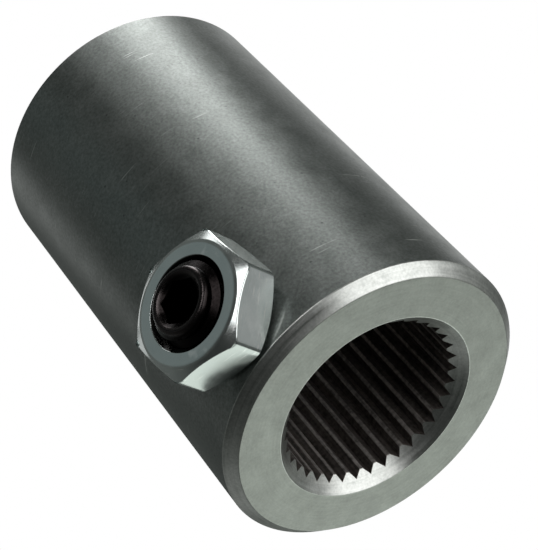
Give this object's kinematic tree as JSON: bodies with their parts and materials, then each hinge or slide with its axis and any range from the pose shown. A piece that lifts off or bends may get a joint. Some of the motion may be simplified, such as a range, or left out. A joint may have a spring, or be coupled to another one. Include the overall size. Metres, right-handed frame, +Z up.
{
  "type": "rigid sleeve coupling",
  "caption": "Round steel sleeve that joins a serrated shaft to a plain shaft, with a serrated bore, a plain bore and a set screw locked by a hexagonal jam nut.",
  "frame": {"origin": "on the bore axis, in the face of the plain end, which the part stands on", "axes": "+Z up the bore axis to the serrated end; -Y out along the set screw"},
  "size_m": [0.0318, 0.0376, 0.0508],
  "materials": {
    "machined_steel": "dark satin, turned and tumbled",
    "black_oxide_steel": "black oxide, oiled",
    "zinc_plated_steel": "bright zinc plate"
  },
  "bodies": {
    "sleeve": {"sleeve": "machined_steel"},
    "set_screw": {"set_screw": "black_oxide_steel"},
    "jam_nut": {"jam_nut": "zinc_plated_steel"}
  },
  "joints": [
    {"name": "set_screw_feed", "type": "slide", "parent": "sleeve", "child": "set_screw", "axis": [0, 1, 0], "range_m": [-0.00423, 0.00141]},
    {"name": "jam_nut_turn", "type": "hinge", "parent": "sleeve", "child": "jam_nut", "pos_m": [0, -0.01823, 0.0428], "axis": [0, -1, 0], "range_deg": [0, 360]}
  ]
}
